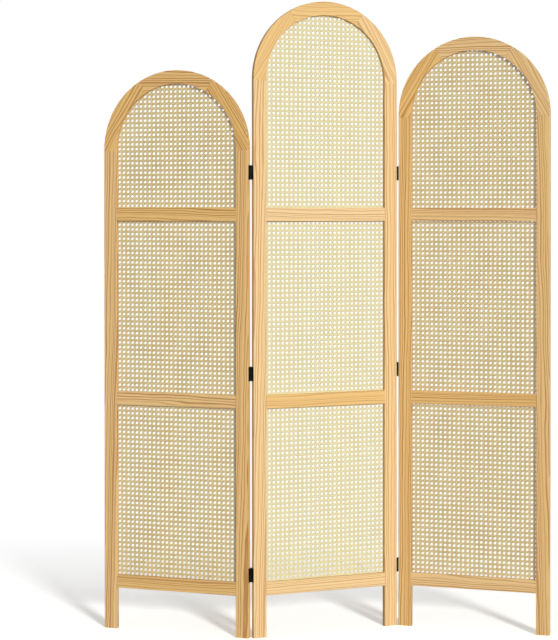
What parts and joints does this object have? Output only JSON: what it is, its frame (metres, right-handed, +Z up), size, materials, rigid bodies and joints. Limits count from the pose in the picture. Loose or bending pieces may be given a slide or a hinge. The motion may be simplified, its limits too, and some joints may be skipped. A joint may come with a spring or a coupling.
{
  "type": "folding screen",
  "caption": "Folding screen of arched pine frames in stepped heights, with rails dividing each into bays of open-weave cane webbing, joined by butt hinges so that it folds in a zigzag.",
  "frame": {"origin": "on the floor, under the middle of the standing screen's bounding box", "axes": "+Z up, +X across the screen towards its right-hand panel, front facing -Y"},
  "size_m": [1.2768, 0.2042, 1.8],
  "materials": {
    "pine_frame": "clear satin varnish over natural pine",
    "cane_webbing": "natural woven rattan cane, satin",
    "reed_spline": "natural reed, satin",
    "hinge_steel": "black enamel, semi-gloss"
  },
  "bodies": {
    "centre_panel": {"centre_stile_left": "pine_frame", "centre_stile_right": "pine_frame", "centre_arch_left": "pine_frame", "centre_arch_crown": "pine_frame", "centre_arch_right": "pine_frame", "centre_rail_bottom": "pine_frame", "centre_rail_middle": "pine_frame", "centre_rail_top": "pine_frame", "centre_cane_lower": "cane_webbing", "centre_spline_lower": "reed_spline", "centre_cane_middle": "cane_webbing", "centre_spline_middle": "reed_spline", "centre_cane_upper": "cane_webbing", "centre_spline_upper": "reed_spline", "left_hinge_lower_centre_leaf": "hinge_steel", "left_hinge_lower_pin": "hinge_steel", "left_hinge_middle_centre_leaf": "hinge_steel", "left_hinge_middle_pin": "hinge_steel", "left_hinge_upper_centre_leaf": "hinge_steel", "left_hinge_upper_pin": "hinge_steel", "right_hinge_lower_centre_leaf": "hinge_steel", "right_hinge_lower_pin": "hinge_steel", "right_hinge_middle_centre_leaf": "hinge_steel", "right_hinge_middle_pin": "hinge_steel", "right_hinge_upper_centre_leaf": "hinge_steel", "right_hinge_upper_pin": "hinge_steel"},
    "left_panel": {"left_stile_left": "pine_frame", "left_stile_right": "pine_frame", "left_arch_left": "pine_frame", "left_arch_crown": "pine_frame", "left_arch_right": "pine_frame", "left_rail_bottom": "pine_frame", "left_rail_middle": "pine_frame", "left_rail_top": "pine_frame", "left_cane_lower": "cane_webbing", "left_spline_lower": "reed_spline", "left_cane_middle": "cane_webbing", "left_spline_middle": "reed_spline", "left_cane_upper": "cane_webbing", "left_spline_upper": "reed_spline", "left_hinge_lower_side_leaf": "hinge_steel", "left_hinge_middle_side_leaf": "hinge_steel", "left_hinge_upper_side_leaf": "hinge_steel"},
    "right_panel": {"right_stile_left": "pine_frame", "right_stile_right": "pine_frame", "right_arch_left": "pine_frame", "right_arch_crown": "pine_frame", "right_arch_right": "pine_frame", "right_rail_bottom": "pine_frame", "right_rail_middle": "pine_frame", "right_rail_top": "pine_frame", "right_cane_lower": "cane_webbing", "right_spline_lower": "reed_spline", "right_cane_middle": "cane_webbing", "right_spline_middle": "reed_spline", "right_cane_upper": "cane_webbing", "right_spline_upper": "reed_spline", "right_hinge_lower_side_leaf": "hinge_steel", "right_hinge_middle_side_leaf": "hinge_steel", "right_hinge_upper_side_leaf": "hinge_steel"}
  },
  "joints": [
    {"name": "left_fold", "type": "hinge", "parent": "centre_panel", "child": "left_panel", "pos_m": [-0.20978, -0.08742, 0.743], "axis": [0, 0, -1], "range_deg": [-45.5, 134.5]},
    {"name": "right_fold", "type": "hinge", "parent": "centre_panel", "child": "right_panel", "pos_m": [0.20855, 0.08735, 0.743], "axis": [0, 0, -1], "range_deg": [-45, 135]}
  ]
}
